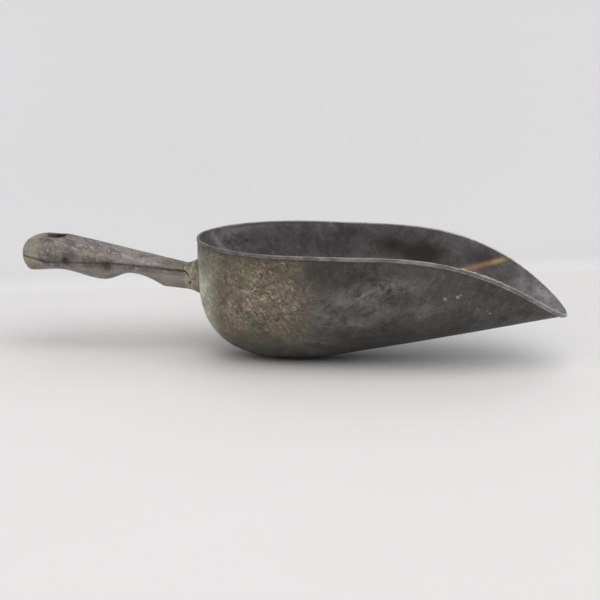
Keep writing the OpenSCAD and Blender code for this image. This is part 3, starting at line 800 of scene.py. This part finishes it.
def make_collar():
    """Flared ring between the grip and the bowl, whose flare runs out on the bowl's wall."""
    turn = np.linspace(0, 2 * np.pi, COLLAR_SIDES, endpoint=False)
    c, s = np.cos(turn)[:, None], np.sin(turn)[:, None]
    start = COLLAR_STRAIGHT - COLLAR_L
    share = np.linspace(0, 1, COLLAR_RINGS)
    radius = NECK_R + (FLARE_R - NECK_R) * share ** FLARE_POW
    flare_x = start + share * (back_wall_x(radius * c, SHANK_Z + radius * s) - 0.05 - start)
    edge = 0.08
    neck_r = [SHANK_R, SOCKET_R, SOCKET_R, NECK_R - edge, NECK_R - 0.3 * edge, NECK_R, NECK_R]
    neck_x = [SOCKET_L, SOCKET_L, 0, 0, 0.3 * edge, edge, 0.6 * COLLAR_STRAIGHT]
    seat_r = np.array([FLARE_R - 0.3, FLARE_R - 2, SHANK_R])
    seat_x = back_wall_x(seat_r * c, SHANK_Z + seat_r * s) - 0.1
    radii = np.concatenate([neck_r, radius, seat_r])
    neck_x = np.broadcast_to(np.array(neck_x) - COLLAR_L, (COLLAR_SIDES, len(neck_r)))
    x = np.concatenate([neck_x, flare_x, seat_x], axis=1)
    points = np.stack([x, radii * c, SHANK_Z + radii * s], axis=-1)
    rows = np.arange(len(radii))
    skin = ((rows >= 4) & (rows < len(neck_r) + COLLAR_RINGS)) * 1.0
    normals = grid_normals(points, True)
    normals *= np.sign(normals[..., 1] * c + normals[..., 2] * s)[..., None]
    near = points[..., 1] < 0
    ridge = hump(x, -3.9 + 1.6 * s, 0.35) * ramp(lumps(points, 9, 103), -0.6, 0.1)
    pit = hump(np.hypot(x + 3.6, points[..., 2] - SHANK_Z + 2.6), 0, 0.9) * near
    seam_line = collar_seam(points) * near
    runs_out = 1 - np.clip((rows - len(neck_r)) / COLLAR_RINGS, 0, 1) ** 3
    lift = 0.1 * lumps(points, 6, 101) + 0.05 * lumps(points, 2.4, 102) + 0.12 * ridge
    lift = (lift * runs_out - 0.5 * pit - 0.4 * seam_line) * skin
    worn = points + normals * lift[..., None]
    index = np.arange(points[..., 0].size).reshape(points.shape[:2])
    ahead = np.roll(index, -1, axis=0)
    quads = np.stack([index, ahead, np.roll(ahead, -1, axis=1), np.roll(index, -1, axis=1)], axis=-1)
    collar = make_piece("collar_ring", worn.reshape(-1, 3), quads.reshape(-1, 4).tolist(), [collar_finish()])
    foot = np.clip((rows - len(neck_r)) / COLLAR_RINGS, 0, 1)
    brown = 0.75 * ramp(foot, 0.62, 0.9) * ramp(lumps(points, 5, 104), -0.7, 0.3)
    grime = np.clip(pit * 1.3, 0, 1)
    paint(collar, "grime", grime.reshape(-1))
    paint(collar, "seam", (seam_line * skin).reshape(-1))
    paint(collar, "patina", brown.reshape(-1))
    # The ridge is painted lighter as a highlight.
    paint(collar, "bare", (0.6 * ridge * skin).reshape(-1))
    sharpen(collar, 50)
    return collar


def collar_seam(points):
    """The grip's parting line runs on for a short way over the collar and bends down."""
    x, z = points[..., 0], points[..., 2]
    past = np.maximum(0, x + COLLAR_L)
    line = seam_at(-COLLAR_L) - 0.1 * past - 0.2 * past ** 2
    return hump(z - line, 0, 0.5 + 0.05 * past) * ramp(past, 5.6, 3.6)


def sharpen(piece, degrees):
    """Keeps the edges sharper than the given angle crisp."""
    piece.data.set_sharp_from_angle(angle=math.radians(degrees))


# =============================== grip ===============================

def seam_at(x):
    return ease(x, -103.3, -88.3, BUTT_Z, SEAM_Z) - 0.1 * bend(x + 61.3, 20)


def top_at(x):
    share = (CREST_X - x) / (CREST_X - BUTT_X)
    round_end = BUTT_Z + (GRIP_TOP - BUTT_Z) * quarter(share, BUTT_TOP_POW)
    return np.where(x < CREST_X, round_end, GRIP_TOP - 0.21 * bend(x - CREST_X, 12))


# Underside of the grip from the heel to the shoulder: x and z of its turning places.
HEEL = (-103.9, 48.6)
GROOVE = (-85.8, 50.2)
RIDGE = (-57.5, 44.35)
FRONT_GROOVE = (-41.5, 48.75)
SHOULDER = (-20.8, 41.0)
NECK_Z = 39.9


def bottom_at(x):
    round_end = BUTT_Z - (BUTT_Z - HEEL[1]) * quarter((HEEL[0] - x) / (HEEL[0] - BUTT_X), BUTT_LOW_POW)
    waves = np.where(x < GROOVE[0], ease(x, HEEL[0], GROOVE[0], HEEL[1], GROOVE[1]),
                     np.where(x < RIDGE[0], ease(x, GROOVE[0], RIDGE[0], GROOVE[1], RIDGE[1]),
                              ease(x, RIDGE[0], FRONT_GROOVE[0], RIDGE[1], FRONT_GROOVE[1])))
    share = np.clip((x - FRONT_GROOVE[0]) / (SHOULDER[0] - FRONT_GROOVE[0]), 0, 1)
    fall = FRONT_GROOVE[1] - (FRONT_GROOVE[1] - SHOULDER[1]) * (1 - np.cos(np.pi / 2 * share))
    neck = SHOULDER[1] + (NECK_Z - SHOULDER[1]) * (x - SHOULDER[0]) / (NECK_X - SHOULDER[0])
    front = np.where(x < SHOULDER[0], fall, neck)
    return np.where(x < HEEL[0], round_end, np.where(x < FRONT_GROOVE[0], waves, front))


def side_at(x):
    share = (CREST_X - x) / (CREST_X - BUTT_X)
    slope = (GRIP_W / 2 - NECK_R) / bend(np.array(NECK_X - CREST_X), 25)
    butt = GRIP_W / 2 * quarter(share, GRIP_POW)
    body = GRIP_W / 2 - slope * bend(x - CREST_X, 25)
    return np.where(x < CREST_X, butt, body)


def seam_depth(x):
    """Depth of the groove along the parting line, deepest towards the neck."""
    return 0.35 + 0.3 * ramp(x, -40, -20) + 0.2 * ramp(x, BUTT_X + 18, BUTT_X + 4)


def grip_half(name, edge, finish, seed):
    """One half of the grip: edge gives the height of its top or its underside."""
    bend_share = 0.42
    turn = np.linspace(0, np.pi / 2, 80)[1:]
    butt = BUTT_X + (CREST_X - BUTT_X) * (1 - np.cos(turn))
    body = np.linspace(CREST_X, NECK_X, GRIP_STATIONS)[1:]
    x = np.concatenate([[BUTT_X + 0.02], butt, body])
    u = np.linspace(0, 1, ARC_STEPS + 1)
    angle = np.pi * (u - (1 - bend_share) * np.sin(4 * np.pi * u) / (4 * np.pi)
                     - (1 - bend_share) * np.sin(2 * np.pi * u) / (2 * np.pi) * 0.9)
    c, s = np.cos(angle)[None, :], np.maximum(0, np.sin(angle))[None, :]
    height = (edge(x) - seam_at(x))[:, None]
    y = side_at(x)[:, None] * np.sign(c) * np.abs(c) ** (2 / GRIP_POW)
    z = seam_at(x)[:, None] + height * s ** (2 / GRIP_POW)
    grid = np.stack([np.broadcast_to(x[:, None], y.shape), y, z], axis=-1)
    normals = grid_normals(grid, False)
    middle = np.stack([grid[..., 0], 0 * y, np.broadcast_to(seam_at(x)[:, None], y.shape)], axis=-1)
    normals *= np.sign(np.sum(normals * (grid - middle), axis=-1))[..., None]
    worn = grid + normals * grip_wear(grid, seed)[..., None]
    worn[:, 0, 2] = worn[:, -1, 2] = seam_at(x)
    faces = loft_faces(*grid.shape[:2], flip=height.mean() < 0)
    return make_piece(name, worn.reshape(-1, 3), faces, [finish])


def grip_wear(grid, seed):
    """Height of the skin over the plain form: unevenness, seam groove, creases and pits."""
    x, y, z = grid[..., 0], grid[..., 1], grid[..., 2]
    from_seam = np.abs(z - seam_at(x))
    lift = (0.1 * lumps(grid, 17, seed) + 0.05 * lumps(grid, 6.5, seed + 1)
            + 0.02 * lumps(grid, 3, seed + 2) + 0.01 * lumps(grid, 1.6, seed + 3))
    lift = lift * ramp(from_seam, 0, 1)
    lift = lift - seam_depth(x) * hump(from_seam, 0, 0.55)
    lift = lift - 0.12 * hump(z, crease_z(x), 0.55) * ramp(x, -98, -85) * ramp(x, -25, -45)
    lift = lift - 0.35 * hump(np.hypot(x - FRONT_PIN[0], z - FRONT_PIN[1]), 0, 2.2)
    lift = lift - 0.2 * hump(np.hypot(x - REAR_PIN[0], z - REAR_PIN[1]), 0, 1.9)
    hole = np.hypot(x - HANG_X, y) - HANG_R
    soft = 2.4
    inside = np.clip(1 - hole / soft, 0, 1)
    return lift - soft * (1 - np.sqrt(np.maximum(0, 1 - inside ** 2)))


def loft_faces(stations, ring, flip):
    """Faces of a solid through a row of closed rings."""
    index = np.arange(stations * ring).reshape(stations, ring)
    ahead = np.roll(index, -1, axis=1)
    quads = np.stack([index[:-1], ahead[:-1], ahead[1:], index[1:]], axis=-1).reshape(-1, 4)
    faces = quads.tolist()
    faces.append(index[0, ::-1].tolist())
    faces.append(index[-1].tolist())
    return [face[::-1] for face in faces] if flip else faces


REAR_PIN = (-79.3, 58.3)
FRONT_PIN = (-54.0, 54.3)
PIN_R = 1.3
EYE_Z = 57.1
EYE_H = 8.2
EYE_R = 7.6


def cut_grip(half, pin):
    """Hang hole, room for the tang's eye and the hole of one cross pin."""
    hole = revolved_cutter("hole_cutter", (HANG_X, 0, 0), "z", [(HANG_R, 30), (HANG_R, 90)])
    eye = revolved_cutter("eye_cutter", (HANG_X, 0, EYE_Z), "z", [(EYE_R, -EYE_H / 2), (EYE_R, EYE_H / 2)])
    pin = revolved_cutter("pin_cutter", (pin[0], 0, pin[1]), "y", [(PIN_R, -GRIP_W), (PIN_R, GRIP_W)], 40)
    cut(half, [eye, hole, pin])


def paint_grip(half):
    points = piece_points(half)
    x, y, z = points[:, 0], points[:, 1], points[:, 2]
    from_seam = z - seam_at(x)
    clumps = 0.5 + 0.5 * lumps(points, 8, 121)
    fine = 0.5 + 0.5 * lumps(points, 2.5, 122)
    # Along the finger grip by the parting line: painted shade with dirt.
    band = hump(from_seam, 0.9, 2.7) * ramp(x, -101, -92) * ramp(x, -44, -54)
    pits = hump(np.hypot(x - FRONT_PIN[0], z - FRONT_PIN[1]), 0, 2.4)
    pits = pits + hump(np.hypot(x - REAR_PIN[0], z - REAR_PIN[1]), 0, 1.9)
    grime = band * (0.55 + 0.55 * clumps) + pits + neck_patch(x, y, z)
    from_hole = np.hypot(x - HANG_X, y) - HANG_R
    lip = ramp(from_hole, 2.2, 0.6) * (z > SEAM_Z)
    # The wall of the hang hole is painted near-black: painted shade.
    hole_shade = ramp(from_hole, 0.9, 0.2)
    paint(half, "grime", grime)
    crisp = np.maximum(ramp(x, -90, -94), ramp(x, -50, -44))
    line = hump(from_seam, 0, 0.38 + 0.42 * ramp(x, -34, -20))
    # The hang hole's wall gets this near-black too, as painted shade.
    paint(half, "seam", (0.5 + 0.5 * fine) * line * (0.45 + 0.55 * crisp) + 0.9 * pits + 0.72 * hole_shade)
    paint(half, "green", ramp(x, -90, -104) * (0.55 + 0.45 * clumps) + 0.35 * ramp(x, -26, -12) * clumps)
    brown = ramp(from_seam, -1.5, -4) * ramp(x, -84, -98) * (0.4 + 0.6 * clumps)
    under = 0.75 * ramp(x, -44, -32) * ramp(from_seam, -1, -3) * (0.5 + 0.5 * clumps)
    top_edge = 0.35 * ramp(np.abs(y), 6, 2) * (from_seam > 0) * clumps
    neck = 0.8 * ramp(x, -15, -9) * clumps * (from_seam > 0)
    paint(half, "patina", brown + top_edge + under + 0.6 * lip + neck)
    crease = z - crease_z(x)
    # A pale line above the crease, and on the lower half near the butt a painted reflection of the floor.
    pale = 0.3 * hump(crease - 1.2, 0, 0.9) * ramp(x, -98, -85) * ramp(x, -25, -45) * fine
    pale = pale + 0.45 * ramp(from_seam, -2, -4) * ramp(x, -100, -88) * (0.4 + 0.6 * clumps)
    light = 0.5 * hump(from_seam, 4.2, 2.6) * hump(x, -41, 14) * ramp(clumps, 0.2, 0.7)
    paint(half, "bare", pale + light)
    sharpen(half, 42)


def crease_z(x):
    """Height of the faint crease along the upper flank."""
    return top_at(x) - 6.3 - 0.02 * (x + 60)


def neck_patch(x, y, z):
    """Dark blotch on the near side, just under the parting line, near the neck."""
    patch = hump(np.hypot((x + 30) / 2.4, z - seam_at(x) + 1.8), 0, 1.6)
    return 0.9 * patch * (y < 0)


def make_grip():
    finish = grip_finish()
    upper = grip_half("grip_upper", top_at, finish, 201)
    lower = grip_half("grip_lower", bottom_at, finish, 221)
    cut_grip(upper, REAR_PIN)
    cut_grip(lower, FRONT_PIN)
    paint_grip(upper)
    paint_grip(lower)
    return upper, lower


# =============================== stage, light and camera ===============================

WALL_ANGLE = math.radians(18.1)  # how far the backdrop's wall is turned from the X axis
WALL_BEHIND = 0.209  # its distance behind the origin, along Y, in metres
WALL_GLOW = 0.49  # light of its own, so that the wall stays as pale as the floor
FLOOR_GLOW = 0.0


def backdrop_finish(name, shades, glow):
    """Matt white that shows from the front only, so that the wall never hides the object."""
    f = Finish(name)
    shade = f.blend(f.noise(180, 3, 0.5, 0.6), *shades)
    f.finish(shade, 0.0, 0.9, f.noise(2.5, 4, 0.6, 1.2), 0.02)
    f.shader.inputs["Emission Color"].default_value = (0.985, 0.985, 1.0, 1)
    f.shader.inputs["Emission Strength"].default_value = glow
    clear = f.node("ShaderNodeBsdfTransparent").outputs["BSDF"]
    behind = f.node("ShaderNodeNewGeometry").outputs["Backfacing"]
    choose = f.node("ShaderNodeMixShader")
    f.plug(choose.inputs["Fac"], behind)
    f.tree.links.new(f.shader.outputs["BSDF"], choose.inputs[1])
    f.tree.links.new(clear, choose.inputs[2])
    f.tree.links.new(choose.outputs["Shader"], f.tree.nodes["Material Output"].inputs["Surface"])
    return f.material


def backdrop_sheet(name, outline, finish):
    """Long strip with the given (depth, height) outline, turned like the wall."""
    half_span = 3.0
    along = Vector((math.cos(WALL_ANGLE), math.sin(WALL_ANGLE), 0))
    back = Vector((-math.sin(WALL_ANGLE), math.cos(WALL_ANGLE), 0))
    foot = Vector((0, WALL_BEHIND, 0))
    points = [foot + along * side + back * depth + Vector((0, 0, z))
              for side in (-half_span, half_span) for depth, z in outline]
    n = len(outline)
    mesh = bpy.data.meshes.new(name)
    mesh.from_pydata([tuple(p) for p in points], [], [(i, n + i, n + i + 1, i + 1) for i in range(n - 1)])
    mesh.materials.append(finish)
    mesh.polygons.foreach_set("use_smooth", [True] * len(mesh.polygons))
    piece = bpy.data.objects.new(name, mesh)
    bpy.context.scene.collection.objects.link(piece)
    return piece


def make_backdrop():
    """Pale floor that meets a pale wall in a small cove."""
    reach, wall_top, cove = 3.0, 0.36, 0.01
    turn = np.linspace(0, np.pi / 2, 10)
    curve = [(-cove + cove * math.sin(a), cove - cove * math.cos(a)) for a in turn]
    floor = backdrop_finish("floor_white", ((0.79, 0.785, 0.78), (0.815, 0.812, 0.81)), FLOOR_GLOW)
    wall = backdrop_finish("wall_white", ((0.26, 0.255, 0.258), (0.28, 0.275, 0.28)), WALL_GLOW)
    backdrop_sheet("backdrop_floor", [(-reach, 0.0), curve[0]], floor)
    sheet_behind = backdrop_sheet("backdrop_wall", curve + [(0.0, wall_top)], wall)
    sheet_behind.visible_diffuse = False


def add_sun(name, bearing, height, strength, spread, colour):
    """Distant light. bearing 0 comes from the camera's side and 90 from the right, in degrees."""
    light = bpy.data.lights.new(name, "SUN")
    light.energy = strength
    light.angle = math.radians(spread)
    light.color = colour
    lamp = bpy.data.objects.new(name, light)
    turn, lift = math.radians(bearing), math.radians(height)
    towards = Vector((math.sin(turn) * math.cos(lift), -math.cos(turn) * math.cos(lift), math.sin(lift)))
    lamp.rotation_euler = towards.to_track_quat("Z", "Y").to_euler()
    bpy.context.scene.collection.objects.link(lamp)


def light_scene():
    """Soft window light from the front right, with weaker light from the right, the back and the left."""
    add_sun("key", 32, 60, 1.74, 66, (1.0, 0.99, 0.98))
    add_sun("right", 90, 30, 0.93, 42, (0.985, 0.985, 1.0))
    add_sun("back", 180, 60, 0.4, 45, (1.0, 1.0, 1.0))
    add_sun("back_low", 190, 25, 0.6, 60, (1.0, 1.0, 1.0))
    add_sun("left", 315, 28, 0.52, 50, (1.0, 0.985, 0.96))
    world = bpy.data.worlds.new("room")
    bpy.context.scene.world = world
    world.use_nodes = True
    tree = world.node_tree
    room = tree.nodes["Background"]
    room.inputs["Color"].default_value = (0.97, 0.98, 1.0, 1)
    room.inputs["Strength"].default_value = 0.13
    seen = tree.nodes.new("ShaderNodeBackground")
    seen.inputs["Color"].default_value = (0.74, 0.74, 0.75, 1)
    path = tree.nodes.new("ShaderNodeLightPath")
    choose = tree.nodes.new("ShaderNodeMixShader")
    tree.links.new(path.outputs["Is Camera Ray"], choose.inputs["Fac"])
    tree.links.new(room.outputs["Background"], choose.inputs[1])
    tree.links.new(seen.outputs["Background"], choose.inputs[2])
    tree.links.new(choose.outputs["Shader"], tree.nodes["World Output"].inputs["Surface"])
    bpy.context.scene.view_settings.view_transform = "Standard"


def add_camera():
    """Camera a little above the rim, turned slightly towards the tip."""
    turn, rise, distance = math.radians(8.717), math.radians(14.011), 1.1654
    aim = Vector(((RIM_X + 62.75) * MM, 0, 0.03497))
    back = Vector((math.sin(turn) * math.cos(rise), -math.cos(turn) * math.cos(rise), math.sin(rise)))
    lens = bpy.data.cameras.new("camera")
    lens.sensor_width = 36
    lens.lens = 115.23
    camera = bpy.data.objects.new("camera", lens)
    camera.location = aim + back * distance
    camera.rotation_mode = "QUATERNION"
    camera.rotation_quaternion = (-back).to_track_quat("-Z", "Y")
    bpy.context.scene.collection.objects.link(camera)
    bpy.context.scene.camera = camera


# =============================== assembly ===============================

bowl = make_bowl()
collar = make_collar()
grip_upper, grip_lower = make_grip()

for piece, node, slot in ((bowl, "bowl", "bowl_alloy"),
                          (collar, "collar", "collar_alloy"),
                          (grip_upper, "handle_upper", "grip_alloy"),
                          (grip_lower, "handle_lower", "grip_alloy")):
    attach(piece, "root")
    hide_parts(node)

core = core_finish()
for node in ("tang", "handle_pins"):
    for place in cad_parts[node].material_slots:
        place.material = core

make_backdrop()
light_scene()
add_camera()
